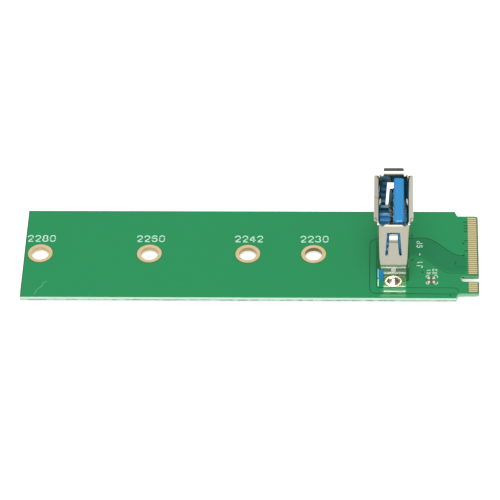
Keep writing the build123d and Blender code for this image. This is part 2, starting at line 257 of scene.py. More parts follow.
# %% [markdown]
# ## White room
# A white room stands round the card. It is white to the eye and in reflections, which is what turns
# bright nickel beige and not grey, while the light that falls on the card stays at a plain level, so
# colours come out as they are written. Low in front of the table, where a photographer stands, the
# room is dark in reflections.

# %% White room
ROOM_LIGHT = 0.55
DARK_FRONT = 0.95
FRONT_HEADING, TABLE_LEVEL, LAMP_LEVEL = (-0.45, -0.2), (-0.02, 0.02), (0.17, 0.22)


def seen_or_mirrored(tree):
    """1 for rays from the camera, off a glossy surface or through glass, 0 for the light itself."""
    rays = tree.nodes.new("ShaderNodeLightPath").outputs
    return greatest(tree, rays["Is Camera Ray"], rays["Is Glossy Ray"], rays["Is Transmission Ray"])


def dark_front(tree):
    """What a mirrored ray loses where it leaves low towards the front, by its heading."""
    direction = tree.nodes.new("ShaderNodeTexCoord").outputs["Generated"]
    heading = add_node(tree, "ShaderNodeSeparateXYZ", {0: direction}).outputs
    in_front = falling_step(tree, heading["Y"], *FRONT_HEADING)
    above_table = smooth_step(tree, heading["Z"], *TABLE_LEVEL)
    below_lamp = falling_step(tree, heading["Z"], *LAMP_LEVEL)
    mirrored = tree.nodes.new("ShaderNodeLightPath").outputs["Is Glossy Ray"]
    return product(tree, in_front, above_table, below_lamp, mirrored, DARK_FRONT)


world = bpy.data.worlds.new("white_room")
bpy.context.scene.world = world
world.use_nodes = True
room = world.node_tree
background = room.nodes["Background"].inputs
background["Color"].default_value = (1, 1, 1, 1)
level = maths(room, "MULTIPLY_ADD", seen_or_mirrored(room), 1.0 - ROOM_LIGHT, ROOM_LIGHT)
room.links.new(maths(room, "SUBTRACT", level, dark_front(room)), background["Strength"])
print("light that falls on the card from the room:", ROOM_LIGHT)

# %% [markdown]
# ## Paper
# A sheet of white paper lies just under the card. More light would whiten it too, but would bleach the
# card as well, so the paper glows a little for the camera, and less in reflections.

# %% Paper floor
FLOOR_HEIGHT = cad_bounds[0][2] - 20 * MICRON
PAPER_HALF = 3.0
PAPER_WHITE = (0.93, 0.93, 0.93, 1)
FLOOR_LIFT, FLOOR_MIRRORED = 0.6, 0.2

paper_corners = [(-PAPER_HALF, -PAPER_HALF), (PAPER_HALF, -PAPER_HALF), (PAPER_HALF, PAPER_HALF),
                 (-PAPER_HALF, PAPER_HALF)]
floor_mesh = bpy.data.meshes.new("paper")
floor_mesh.from_pydata([(x, y, FLOOR_HEIGHT) for x, y in paper_corners], [], [(0, 1, 2, 3)])
floor = bpy.data.objects.new("paper", floor_mesh)
bpy.context.scene.collection.objects.link(floor)
paper, tree, shader = new_material("paper", Base_Color=PAPER_WHITE, Roughness=0.9, Specular_IOR_Level=0.0,
                                   Emission_Color=(1, 1, 1, 1))
rays = tree.nodes.new("ShaderNodeLightPath").outputs
lift = maths(tree, "MULTIPLY", rays["Is Camera Ray"], FLOOR_LIFT)
lift = maths(tree, "MULTIPLY_ADD", rays["Is Glossy Ray"], FLOOR_MIRRORED, lift)
tree.links.new(lift, shader["Emission Strength"])
floor_mesh.materials.append(paper)
print("floor at", round(FLOOR_HEIGHT / MM, 2), "mm")

# %% [markdown]
# ## Lamps
# Three lamps, as on a packshot table: a wide soft box overhead, which keeps shadows faint, a lower one
# in front, which whitens what leans back in the shell, and a small bright one just under the camera.
# The small one shines back out of the corner between the shell and the card, because two mirrors at a
# right angle send light back where it came from, and it lights the floor of the mouth.

# %% Soft boxes
LAMP_AIM = Vector((-41.0, 0.0, 0.0)) * MM
BELOW_CAMERA = 50 * MM


def soft_box(name, place, width, height, power):
    """Oblong area lamp that looks at the middle of the card. Sizes in metres, power in watts."""
    data = bpy.data.lights.new(name, "AREA")
    data.shape = "RECTANGLE"
    data.size = width
    data.size_y = height
    data.energy = power
    lamp = bpy.data.objects.new(name, data)
    lamp.location = place
    lamp.rotation_euler = (place - LAMP_AIM).to_track_quat("Z", "Y").to_euler()
    bpy.context.scene.collection.objects.link(lamp)
    print(name, "is", round((place - LAMP_AIM).length, 2), "m away")


soft_box("overhead_box", LAMP_AIM + Vector((0.0, -0.28, 0.75)), width=0.5, height=0.5, power=2.1)
soft_box("lower_box", LAMP_AIM + Vector((0.05, -0.83, 0.46)), width=0.7, height=0.42, power=1.8)
soft_box("camera_box", camera_place.translation - up * BELOW_CAMERA, width=0.085, height=0.085, power=0.55)

# %% [markdown]
# ## Shared surface effects
# Two effects come back on almost every finish: the faint cloudiness that handling leaves in the gloss,
# and the fine unevenness of a real surface. Each is built once as a node group with named inputs.

# %% Smudge and ripple groups
CLOUD_SPAN = (0.35, 0.65)
FINER, FINE_SHARE = 4.0, 0.35

smudge_group, given, result = new_group(
    "smudge",
    [("NodeSocketVector", "Position", None), ("NodeSocketFloat", "Scale", 100.0),
     ("NodeSocketFloat", "Low", 0.2), ("NodeSocketFloat", "High", 0.4)],
    "Roughness",
)
cloud = noise(smudge_group, given["Position"], given["Scale"], detail=5.0, roughness=0.6)
spread = smooth_step(smudge_group, cloud, *CLOUD_SPAN, given["Low"], given["High"])
smudge_group.links.new(spread, result["Roughness"])

ripple_group, given, result = new_group(
    "ripple",
    [("NodeSocketVector", "Position", None), ("NodeSocketFloat", "Scale", 900.0),
     ("NodeSocketFloat", "Amount", 1.0)],
    "Height",
)
coarse = noise(ripple_group, given["Position"], given["Scale"], detail=2.0)
fine_scale = maths(ripple_group, "MULTIPLY", given["Scale"], FINER)
fine = noise(ripple_group, given["Position"], fine_scale, detail=2.0)
height = maths(ripple_group, "MULTIPLY_ADD", fine, FINE_SHARE, coarse)
height = maths(ripple_group, "MULTIPLY", height, given["Amount"])
ripple_group.links.new(height, result["Height"])
print("groups:", smudge_group.name, ripple_group.name)

# %% [markdown]
# ## Solder mask over bare laminate
# The faces of the card are green mask, mostly over copper. Between two waves that run from the
# receptacle to the card edge there is no copper under it, and it looks darker. A mesh laid over that
# zone would show its edge in the gloss, so it is worked out in the material, as what lies under one
# smooth step and over another.

# %% Bare zone
UPPER_WAVE_X, UPPER_WAVE_Y = (-9.8, -3.2), (4.15, -0.3)
LOWER_WAVE_X, LOWER_WAVE_Y = (-11.2, -5.1), (-0.4, -4.75)
UPPER_FADE, LOWER_FADE = (-0.2, 0.5), (-0.3, 0.8)
ZONE_START, ZONE_END = (-13.0, -12.0), (-2.3, -2.0)
TINT_SCALE, TINT_SHARE = 60.0, 0.35


def bare_zone(tree, place, x, y):
    """1 between the two waves, with a cloud over the whole card that loosens the zone's edges."""
    upper_wave = smooth_step(tree, x, *UPPER_WAVE_X, *UPPER_WAVE_Y)
    lower_wave = smooth_step(tree, x, *LOWER_WAVE_X, *LOWER_WAVE_Y)
    under_upper = smooth_step(tree, maths(tree, "SUBTRACT", upper_wave, y), *UPPER_FADE)
    over_lower = smooth_step(tree, maths(tree, "SUBTRACT", y, lower_wave), *LOWER_FADE)
    beside_shell = smooth_step(tree, x, *ZONE_START)
    before_fingers = falling_step(tree, x, *ZONE_END)
    zone = product(tree, under_upper, over_lower, beside_shell, before_fingers)
    cloud = maths(tree, "SUBTRACT", noise(tree, place, TINT_SCALE, detail=4.0), 0.5)
    return maths(tree, "MULTIPLY_ADD", cloud, TINT_SHARE, zone, clamp=True)


print("zone runs from", ZONE_START[0], "to", ZONE_END[1])

# %% [markdown]
# ## Where the mask stops
# The mask keeps clear of everything that is soldered or rubbed. Laminate shows between the fingers,
# the sawn rim is dark, and a thin dark margin runs round each plated ring and each empty chip pad.

# %% Masks of the bare places
FINGER_ROOT, FINGER_TIP = (-1.96, -1.90), (-0.28, -0.22)
FINGER_SIDE, FINGER_BANK = (9.45, 9.5), (1.0, 1.05)
END_RIM, SIDE_RIM = (0.08, 0.20), (0.18, 0.08)
TIP_RIM, TIP_RIM_SHARE = (-0.27, -0.20), 0.8
RING_RADIUS, RING_FADE = 2.27, (0.04, 0.16)
PAD_MARGIN_X, PAD_MARGIN_Y = (0.36, 0.42), (0.39, 0.45)


def between_fingers(tree, x, y):
    """The laminate between the fingers, which keep off the tongue's tip, its sides and its key notch."""
    along = product(tree, smooth_step(tree, x, *FINGER_ROOT), falling_step(tree, x, *FINGER_TIP))
    on_tongue = falling_step(tree, away_from(tree, y, 0.0), *FINGER_SIDE)
    off_notch = smooth_step(tree, away_from(tree, y, NOTCH_Y), *FINGER_BANK)
    return product(tree, along, on_tongue, off_notch)


def sawn_rim(tree, x, y):
    """The rim of the free end, of the far side and, fainter, of the tip."""
    free_end = falling_step(tree, x, *(CARD_END + width for width in END_RIM))
    far_side = smooth_step(tree, y, *(CARD_SIDE - width for width in SIDE_RIM))
    return greatest(tree, free_end, far_side, smooth_step(tree, x, *TIP_RIM, 0.0, TIP_RIM_SHARE))


def round_ring(tree, x, y, hole):
    """The margin round one ring, by the distance from its centre: sqrt(x*x + y*y)."""
    along = maths(tree, "SUBTRACT", x, hole)
    squared = maths(tree, "MULTIPLY_ADD", along, along, maths(tree, "MULTIPLY", y, y))
    return falling_step(tree, maths(tree, "SQRT", squared), *(RING_RADIUS + step for step in RING_FADE))


def from_pad(tree, x, y):
    """Distances in x and y from the nearest chip pad. Folding the plane about the middle of the four
    pads lays them on one another, so one pair of numbers serves them all."""
    folded = [away_from(tree, value, middle) for value, middle in zip((x, y), PAD_MIDDLE)]
    return [away_from(tree, value, offset) for value, offset in zip(folded, PAD_OFFSET)]


def round_pads(tree, x, y):
    """The margin round each chip pad."""
    across, along = from_pad(tree, x, y)
    return product(tree, falling_step(tree, across, *PAD_MARGIN_X), falling_step(tree, along, *PAD_MARGIN_Y))


print("margins round", len(HOLE_PLACES), "rings and four pads")

# %% [markdown]
# ## Sawn edge
# A sawn card shows the glass cloth in its resin. Here its upper half is pale, its lower half is grey
# with torn threads, and the tongue's sides are greener. The root of the key notch lies in shade and is
# painted pale over it: painted light. Noise that is squeezed along the card's thickness gives the
# threads, which are too small for a mesh.

# %% Edge colour
EDGE_PALE, EDGE_GREY, EDGE_DARK = (0.56, 0.79, 0.63, 1), (0.44, 0.51, 0.45, 1), (0.09, 0.10, 0.09, 1)
EDGE_TONGUE, EDGE_NOTCH = (0.27, 0.50, 0.34, 1), (0.15, 0.37, 0.19, 1)
FIBRE_SCALE, FIBRE_SQUEEZE = 760.0, (1, 1, 5)
TORN, LOW_HALF = (0.45, 0.56), (-0.24, -0.10)
TONGUE_ROOT, NOTCH_WALL, NOTCH_ROOT = (-4.0, -3.7), (0.78, 0.84), (-2.9, -2.75)


def edge_colour(tree, place, x, y, z):
    """Pale resin above and torn grey glass below, greener on the tongue and in the key notch, and painted
    pale at the notch's root, which lies in shade.
    """
    squeezed = add_node(tree, "ShaderNodeMapping", {"Vector": place, "Scale": FIBRE_SQUEEZE}).outputs[0]
    torn = smooth_step(tree, noise(tree, squeezed, FIBRE_SCALE, detail=5.0, roughness=0.65), *TORN)
    low_half = falling_step(tree, z, *LOW_HALF)
    on_tongue = smooth_step(tree, x, *TONGUE_ROOT)
    off_notch = smooth_step(tree, away_from(tree, y, NOTCH_Y), *NOTCH_WALL)
    in_notch = product(tree, on_tongue, maths(tree, "SUBTRACT", 1.0, off_notch))
    # The notch's root lies in shade, so its colour is painted pale: painted light.
    notch_root_painted_light = product(tree, in_notch, falling_step(tree, x, *NOTCH_ROOT))
    return coated(tree, EDGE_PALE, (low_half, EDGE_GREY), (product(tree, torn, low_half), EDGE_DARK),
                  (on_tongue, EDGE_TONGUE), (in_notch, EDGE_NOTCH), (notch_root_painted_light, EDGE_PALE))


print("torn threads at scale", FIBRE_SCALE)

# %% [markdown]
# ## Ridges in the mask
# Two wide traces pass in front of the receptacle, and the mask rises over them. The slopes of each
# rise catch the light that comes back off the shell, so they show as bright stripes there. A rise of
# two hundredths of a millimetre isn't worth a mesh, so the ridges are a height for the bump, and their
# slopes have more gloss next to the shell.

# %% Trace ridges
TRACE_RIDGES = ((-10.34, -9.30), (-8.98, -8.07))
BANK_HALF, BANK_GLOSS, PLAIN_GLOSS = 0.18, 6.0, 0.22
BRIGHT_MIDDLE, BRIGHT_REACH = -15.5, (2.0, 2.5)


def trace_ridges(tree, x, y, is_face, height):
    """Adds the ridges to a height. Gives the new height, and the gloss with ridge*(1 - ridge) added on
    each slope in front of the shell."""
    before_shell = falling_step(tree, away_from(tree, x, BRIGHT_MIDDLE), *BRIGHT_REACH)
    gloss = PLAIN_GLOSS
    for near_bank, far_bank in TRACE_RIDGES:
        rise = smooth_step(tree, y, near_bank - BANK_HALF, near_bank + BANK_HALF)
        fall = falling_step(tree, y, far_bank - BANK_HALF, far_bank + BANK_HALF)
        ridge = product(tree, rise, fall)
        height = maths(tree, "MULTIPLY_ADD", ridge, is_face, height)
        slope = product(tree, ridge, maths(tree, "SUBTRACT", 1.0, ridge), before_shell)
        gloss = maths(tree, "MULTIPLY_ADD", slope, BANK_GLOSS, gloss)
    return height, gloss


print("ridges:", len(TRACE_RIDGES))

# %% [markdown]
# ## The board's material
# Mask and sawn edge belong to one solid, and the object's own normal tells them apart: it points up or
# down on a face and sideways on an edge. The two looks meet in one material, which is glossy with faint
# smudges on the mask and dull on the edge.

# %% Board material
MASK_GREEN, MASK_BARE = (0.012, 0.280, 0.092, 1), (0.006, 0.212, 0.075, 1)
BARE_LAMINATE, RIM_DARK = (0.12, 0.080, 0.022, 1), (0.03, 0.10, 0.035, 1)
MARGIN_DARK = (0.035, 0.085, 0.020, 1)
FACE_TURN, EDGE_DULL = (0.5, 0.9), 0.5
RIDGE_HEIGHT = 20 * MICRON

board, tree, shader = new_material("green_solder_mask", Specular_IOR_Level=PLAIN_GLOSS)
place = object_place(tree)
x, y, z = millimetres(tree, place)
normal = tree.nodes.new("ShaderNodeTexCoord").outputs["Normal"]
upright = add_node(tree, "ShaderNodeSeparateXYZ", {0: normal}).outputs["Z"]
is_face = smooth_step(tree, away_from(tree, upright, 0.0), *FACE_TURN)

ring_margins = [(round_ring(tree, x, y, hole), MARGIN_DARK) for hole in HOLE_PLACES]
mask_colour = coated(tree, MASK_GREEN, (bare_zone(tree, place, x, y), MASK_BARE),
                     (between_fingers(tree, x, y), BARE_LAMINATE), (sawn_rim(tree, x, y), RIM_DARK),
                     *ring_margins, (round_pads(tree, x, y), MARGIN_DARK))
tree.links.new(blended(tree, is_face, edge_colour(tree, place, x, y, z), mask_colour), shader["Base Color"])

smudge = use_group(tree, smudge_group, {"Position": place, "Scale": 90.0, "Low": 0.16, "High": 0.26})
dull_edge = product(tree, maths(tree, "SUBTRACT", 1.0, is_face), EDGE_DULL)
tree.links.new(maths(tree, "ADD", smudge, dull_edge), shader["Roughness"])
weave = use_group(tree, ripple_group, {"Position": place, "Scale": 700.0, "Amount": 0.02})
mask_height, mask_gloss = trace_ridges(tree, x, y, is_face, weave)
tree.links.new(mask_gloss, shader["Specular IOR Level"])
tree.links.new(bump(tree, mask_height, RIDGE_HEIGHT), shader["Normal"])
print("board material has", len(tree.nodes), "nodes")

# %% [markdown]
# ## Makers of finishes, stains and painted light
# Metals and mouldings differ in colour, in gloss and in how uneven they are, so one maker serves them
# all. A stain, such as a loose cloud of tone or a pad's copper edge, and painted light or shade, such as
# dark reflections, shade and highlights, are coats: a second maker lays one over the finish where a
# mask says so, and a strong coat is dull as well.

# %% Finish, stain and painted light makers
METAL, PLASTIC = 1.0, 0.0
SMUDGE_SCALE = 150.0
COAT_DULLS = (0.36, 0.5)


def finish(name, colour, kind, gloss, ripple, **more):
    """One plain colour with clouded gloss, from its lowest to its highest roughness, and a fine ripple,
    given as its scale and its height in microns."""
    material, tree, shader = new_material(name, Base_Color=colour, Metallic=kind, **more)
    place = object_place(tree)
    smudge = {"Position": place, "Scale": SMUDGE_SCALE, "Low": gloss[0], "High": gloss[1]}
    tree.links.new(use_group(tree, smudge_group, smudge), shader["Roughness"])
    height = use_group(tree, ripple_group, {"Position": place, "Scale": ripple[0], "Amount": 1.0})
    tree.links.new(bump(tree, height, ripple[1] * MICRON), shader["Normal"])
    return material


def stained_or_painted_light(material, stain, mask, dulled=0.0):
    """Blends the colour that the material has so far towards a stain or towards painted light or shade,
    where the mask, a function of the place on the object, is 1. A strong coat can be dull too, with a
    roughness of its own."""
    tree = material.node_tree
    shader = tree.nodes["Principled BSDF"].inputs
    amount = mask(tree, object_place(tree))
    colour, roughness = shader["Base Color"], shader["Roughness"]
    so_far = colour.links[0].from_socket if colour.links else tuple(colour.default_value)
    tree.links.new(blended(tree, amount, so_far, stain), colour)
    dull = smooth_step(tree, amount, *COAT_DULLS, 0.0, dulled)
    tree.links.new(greatest(tree, roughness.links[0].from_socket, dull), roughness)


print("finish makers ready")

# %% [markdown]
# ## Nickel shell
# The shell is folded from nickel-plated sheet, which is close to a mirror with a warm tone. Its colour
# is painted dark at the ends of its lips and on the near corners of the side lips, as painted dark
# reflections, and in the near spring's crease, as a painted shadow. The near wall and the left lip are a
# shade darker. Coats that are masks stay sharp at any distance, and the lips' heights are given down
# from the shell's top.

# %% Nickel material
# The second colour is the nickel painted dark, for painted dark reflections and painted shade.
NICKEL, DARKENED_NICKEL = (0.56, 0.54, 0.44, 1), (0.05, 0.048, 0.042, 1)
FAR_END, FAR_ROOT, FAR_FADE = (0.40, 0.34), (1.10, 1.00), (0.75, 0.42)
FAR_LIP_Y, FAR_ROOT_SHARE = (5.6, 5.8), 0.85
NEAR_END, NEAR_LIP_Y, NEAR_SHARE = (0.5, 0.4), (-7.3, -7.1), 0.35
SIDE_LIP, CORNER_Y, CORNER_SHARE = (2.9, 3.0), (-5.65, -5.35), 0.5
CREASE_LOW, CREASE_HIGH, CREASE_SHARE = (10.36, 10.44), (10.62, 10.70), 0.75
SPRING_Y, SPRING_HALF = (-6.3, -6.2), (0.75, 0.8)
NEAR_WALL_Y, NEAR_WALL_SHARE = (-6.5, -6.4), 0.16
LEFT_LIP_X, LEFT_LIP_DOWN, LEFT_LIP_SHARE = (-18.35, -18.15), (1.5, 1.4), 0.2


def near_top(tree, z, down):
    """1 above a height that is given down from the shell's top."""
    return smooth_step(tree, z, *(SHELL_TOP - depth for depth in down))


def painted_dark_reflections_and_shade(tree, place):
    """Painted dark reflections where the sheet's ends and bends mirror something dark: most at the far lip's
    end, less on the near lip's end and on the near corners of the side lips; and a painted shadow in the
    near spring's crease."""
    x, y, z = millimetres(tree, place)
    from_middle = away_from(tree, x, RECEPTACLE_X)
    far_fade = falling_step(tree, z, *(SHELL_TOP - depth for depth in FAR_FADE), FAR_ROOT_SHARE)
    far_root = product(tree, near_top(tree, z, FAR_ROOT), far_fade)
    far_end = greatest(tree, near_top(tree, z, FAR_END), far_root)
    far_lip = product(tree, far_end, smooth_step(tree, y, *FAR_LIP_Y))
    near_lip = product(tree, near_top(tree, z, NEAR_END), falling_step(tree, y, *NEAR_LIP_Y, NEAR_SHARE))
    corner = product(tree, smooth_step(tree, from_middle, *SIDE_LIP),
                     falling_step(tree, y, *CORNER_Y, CORNER_SHARE))
    crease = product(tree, smooth_step(tree, z, *CREASE_LOW), falling_step(tree, z, *CREASE_HIGH),
                     falling_step(tree, y, *SPRING_Y),
                     falling_step(tree, from_middle, *SPRING_HALF, CREASE_SHARE))
    return greatest(tree, far_lip, near_lip, corner, crease)


def darker_near_wall_and_left_lip(tree, place):
    """The near wall and the left lip, a shade darker."""
    x, y, z = millimetres(tree, place)
    left_lip = product(tree, falling_step(tree, x, *LEFT_LIP_X, LEFT_LIP_SHARE),
                       near_top(tree, z, LEFT_LIP_DOWN))
    return greatest(tree, falling_step(tree, y, *NEAR_WALL_Y, NEAR_WALL_SHARE), left_lip)


nickel = finish("nickel_shell", NICKEL, METAL, gloss=(0.05, 0.12), ripple=(500.0, 4))
# Darkens the near wall and the left lip a shade.
stained_or_painted_light(nickel, DARKENED_NICKEL, darker_near_wall_and_left_lip)
# Painted dark reflections at the lips' ends and near corners, and a painted shadow in the spring's crease.
stained_or_painted_light(nickel, DARKENED_NICKEL, painted_dark_reflections_and_shade, dulled=0.45)
print(nickel.name, "nodes:", len(nickel.node_tree.nodes))

# %% [markdown]
# ## Gold over nickel
# The rings, the barrels and the fingers have thin satin gold. On the rings it has loose pinkish clouds,
# which a noise lays over it, and the barrels have painted shade that grows darker towards the
# receptacle. The fingers are even, so they have a finish of their own. The contacts are sprung bronze
# with a gold flash.

# %% Gold and bronze materials
GOLD, PINK_GOLD, GOLD_PAINTED_SHADE = (0.66, 0.56, 0.28, 1), (0.73, 0.56, 0.37, 1), (0.16, 0.13, 0.04, 1)
FINGER_GOLD, BRONZE = (0.69, 0.605, 0.325, 1), (0.72, 0.52, 0.28, 1)
PINK_SCALE, PINK_SPAN = 900.0, (0.42, 0.6)
BARREL_TOP, SHADE_FROM, SHADE_MOST = (0.38, 0.42), (-52.0, -28.0), 0.75


def pink_cloud(tree, place):
    """Loose clouds over the gold."""
    return smooth_step(tree, noise(tree, place, PINK_SCALE), *PINK_SPAN)


def barrel_painted_shade(tree, place):
    """Painted shade on the walls of the fastening holes, darker the nearer they stand to the receptacle."""
    x, _, z = millimetres(tree, place)
    shade_amount = smooth_step(tree, x, *SHADE_FROM, 0.0, SHADE_MOST)
    return product(tree, falling_step(tree, z, *BARREL_TOP), shade_amount)


gold = finish("gold_plating", GOLD, METAL, gloss=(0.25, 0.45), ripple=(1500.0, 30))
stained_or_painted_light(gold, PINK_GOLD, pink_cloud)
# Painted shade in the barrels, darker towards the receptacle.
stained_or_painted_light(gold, GOLD_PAINTED_SHADE, barrel_painted_shade)
finger_gold = finish("finger_gold", FINGER_GOLD, METAL, gloss=(0.3, 0.45), ripple=(1500.0, 10))
bronze = finish("contact_plating", BRONZE, METAL, gloss=(0.2, 0.35), ripple=(1200.0, 6))
print("gold finishes:", gold.name, finger_gold.name, bronze.name)

# %% [markdown]
# ## Solder and tin
# Wetted solder is bright and slightly lumpy. Beside each of the shell's legs its colour has two brown
# patches of painted dark reflection, inside a lighter rim, and distances from the leg place them. The
# empty chip pads are tinned, with a thin copper edge.

# %% Solder and tin materials
SOLDER, SOLDER_DARK_REFLECTION = (0.66, 0.64, 0.61, 1), (0.22, 0.19, 0.17, 1)
TIN, TIN_RIM = (0.76, 0.69, 0.58, 1), (0.30, 0.19, 0.11, 1)
LEG_REACH, SOLDER_RIM = 6.4, (1.20, 1.30)
LEFT_LOBE, RIGHT_LOBE = (-0.75, -0.6), (0.15, 0.35)
PAD_RIM_X, PAD_RIM_Y, PAD_RIM_SHARE = (0.19, 0.25), (0.21, 0.27), 0.8


def dark_reflection_lobes(tree, place):
    """Two patches of painted dark reflection, to the left and right of a leg, inside the rim of its solder.
    """
    x, y, _ = millimetres(tree, place)
    across = maths(tree, "SUBTRACT", x, RECEPTACLE_X)
    from_leg = maths(tree, "SUBTRACT", away_from(tree, y, RECEPTACLE_Y), LEG_REACH)
    squared = maths(tree, "MULTIPLY_ADD", across, across, maths(tree, "MULTIPLY", from_leg, from_leg))
    inside_rim = falling_step(tree, maths(tree, "SQRT", squared), *SOLDER_RIM)
    lobes = greatest(tree, falling_step(tree, across, *LEFT_LOBE), smooth_step(tree, across, *RIGHT_LOBE))
    return product(tree, lobes, inside_rim)


def pad_rim(tree, place):
    """The thin edge of each tinned pad, where copper shows through."""
    x, y, _ = millimetres(tree, place)
    across, along = from_pad(tree, x, y)
    edge = greatest(tree, smooth_step(tree, across, *PAD_RIM_X), smooth_step(tree, along, *PAD_RIM_Y))
    return product(tree, edge, PAD_RIM_SHARE)


solder = finish("solder", SOLDER, METAL, gloss=(0.10, 0.25), ripple=(1400.0, 30))
# Painted dark reflections in the solder beside each leg.
stained_or_painted_light(solder, SOLDER_DARK_REFLECTION, dark_reflection_lobes, dulled=0.6)
tin = finish("tinned_pad", TIN, METAL, gloss=(0.35, 0.5), ripple=(1500.0, 30))
stained_or_painted_light(tin, TIN_RIM, pad_rim)
print("solder finishes:", solder.name, tin.name)

# %% [markdown]
# ## Blue moulding
# The moulding is glossy saturated nylon. The floor of the mouth, whose ribs catch the light, has a
# paler colour between two heights: a painted highlight.

# %% Nylon material
NYLON, NYLON_PAINTED_HIGHLIGHT = (0.008, 0.26, 0.61, 1), (0.10, 0.54, 1.0, 1)
MOUTH_LOW, MOUTH_HIGH, MOUTH_SHARE = (4.4, 4.7), (6.0, 6.6), 0.8


def mouth_floor_highlight(tree, place):
    """The painted highlight on the floor of the mouth, by its height over the card's middle."""
    z = millimetres(tree, place)["Z"]
    return product(tree, smooth_step(tree, z, *MOUTH_LOW), falling_step(tree, z, *MOUTH_HIGH, MOUTH_SHARE))


nylon = finish("blue_moulding", NYLON, PLASTIC, gloss=(0.2, 0.34), ripple=(800.0, 12))
# Painted highlight on the floor of the mouth.
stained_or_painted_light(nylon, NYLON_PAINTED_HIGHLIGHT, mouth_floor_highlight)
print(nylon.name, "nodes:", len(nylon.node_tree.nodes))

# %% [markdown]
# ## Dressing the solids
# The shapes of the solids are right, so they stay, and only their material slots change. A node's name
# starts with what it is, so a short table from the start of a name to a finish covers every node.

# %% Give each CAD node its finish
FINISHES = {
    "circuit_board": board,
    "receptacle_shell": nickel,
    "receptacle_insulator": nylon,
    "resistor_pads": tin,
    "edge_contacts": finger_gold,
    "screw_hole": gold,
    "shield_hole": gold,
    "hole_platings": gold,
    "contact_": bronze,
    "shield_solder": solder,
    "solder_joints": solder,
}
for name, piece in nodes.items():
    chosen = next(material for start, material in FINISHES.items() if name.startswith(start))
    for slot in piece.material_slots:
        slot.material = chosen
    if not piece.material_slots:
        piece.data.materials.append(chosen)
print("finished nodes:", len(nodes))

# %% [markdown]
# ## Strokes of a pen
# Print, etched lines and brackets are all strokes of a pen: a path with a width and a small thickness,
# round at both ends. A bevelled curve would be round in section too, so numpy works out each stroke as
# a grid of points: the four corners of a flat section, carried along the path.

# %% Stroke surface
CAP_STEPS = 5
CAP_START = 0.12


def stroke(points, width, layer):
    """Ribbon with round ends. Its half width is h = width/2 along the path and sqrt(h*h - s*s) at a
    distance s past either end. Its section is a rectangle from the layer's low to its high. Millimetres."""
    path = np.asarray(points, float)
    run = np.gradient(path, axis=0)
    run /= np.linalg.norm(run, axis=1)[:, None]
    half = width / 2
    low, high = layer
    angle = np.linspace(CAP_START, pi / 2, CAP_STEPS)[:-1, None]
    start = path[0] - run[0] * half * np.cos(angle)
    end = path[-1] + run[-1] * half * np.cos(angle)[::-1]
    line = np.vstack([start, path, end])
    tangent = np.vstack([np.repeat(run[:1], CAP_STEPS - 1, 0), run, np.repeat(run[-1:], CAP_STEPS - 1, 0)])
    cap = half * np.sin(angle)
    widths = np.vstack([cap, np.full((len(path), 1), half), cap[::-1]])
    side = np.column_stack([-tangent[:, 1], tangent[:, 0]]) * widths
    corners = [(line - side, high), (line + side, high), (line + side, low), (line - side, low)]
    return np.stack([np.column_stack([plan, np.full(len(line), z)]) for plan, z in corners], axis=1)


print("points in a stroke of two points:", stroke([(0, 0), (1, 0)], 1, (0, 1)).shape[:2])

# %% [markdown]
# ## Rounded paths
# A trace turns with a round corner. A path is drawn through its corners, each corner is rounded by a
# curve that leaves both sides in line with them, and points are then spread evenly along the whole.

# %% Path with rounded corners
TURN_STEPS = 9
PATH_STEP = 0.15


def rounded_path(corners, radius):
    """Path through corners. Each turn is the curve (1-t)^2*a + 2t(1-t)*b + t*t*c round its corner b, from
    a to c, which lie where an arc of the given radius would touch."""
    corners = np.asarray(corners, float)
    pieces = [corners[:1]]
    for before, corner, after in zip(corners[:-2], corners[1:-1], corners[2:]):
        back = (before - corner) / np.linalg.norm(before - corner)
        ahead = (after - corner) / np.linalg.norm(after - corner)
        reach = radius / np.tan(np.arccos(np.clip(back @ ahead, -1, 1)) / 2)
        t = np.linspace(0, 1, TURN_STEPS)[:, None]
        first, last = corner + back * reach, corner + ahead * reach
        pieces.append((1 - t) ** 2 * first + 2 * t * (1 - t) * corner + t * t * last)
    pieces.append(corners[-1:])
    rough = np.vstack(pieces)
    along = np.concatenate([[0], np.cumsum(np.linalg.norm(np.diff(rough, axis=0), axis=1))])
    places = np.linspace(0, along[-1], max(int(along[-1] / PATH_STEP), 2))
    return np.column_stack([np.interp(places, along, rough[:, 0]), np.interp(places, along, rough[:, 1])])


print("points round one corner:", len(rounded_path([(0, 0), (3, 0), (3, 3)], 1)))

# %% [markdown]
# ## Domes, and grids made into pieces
# A covered hole or a speck is a low round button, which is a grid too. One function then joins any
# number of grids into one mesh, caps their ends, gives the mesh its finish and says that it rides on
# the card.

# %% Dome surface and mesh maker
DOME_RINGS, DOME_CENTRE = 5, 0.02


def dome(centre, radius, layer, turns=16):
    """Round button: at the share t of its radius its height is low + (high - low)*(1 - t*t)."""
    low, high = layer
    share = np.linspace(1.0, DOME_CENTRE, DOME_RINGS)[:, None]
    angle = np.linspace(0, 2 * pi, turns, endpoint=False)[None, :]
    x = centre[0] + radius * share * np.cos(angle)
    y = centre[1] + radius * share * np.sin(angle)
    z = low + (high - low) * (1 - share ** 2) + 0 * angle
    return np.stack([x, y, z], axis=2)


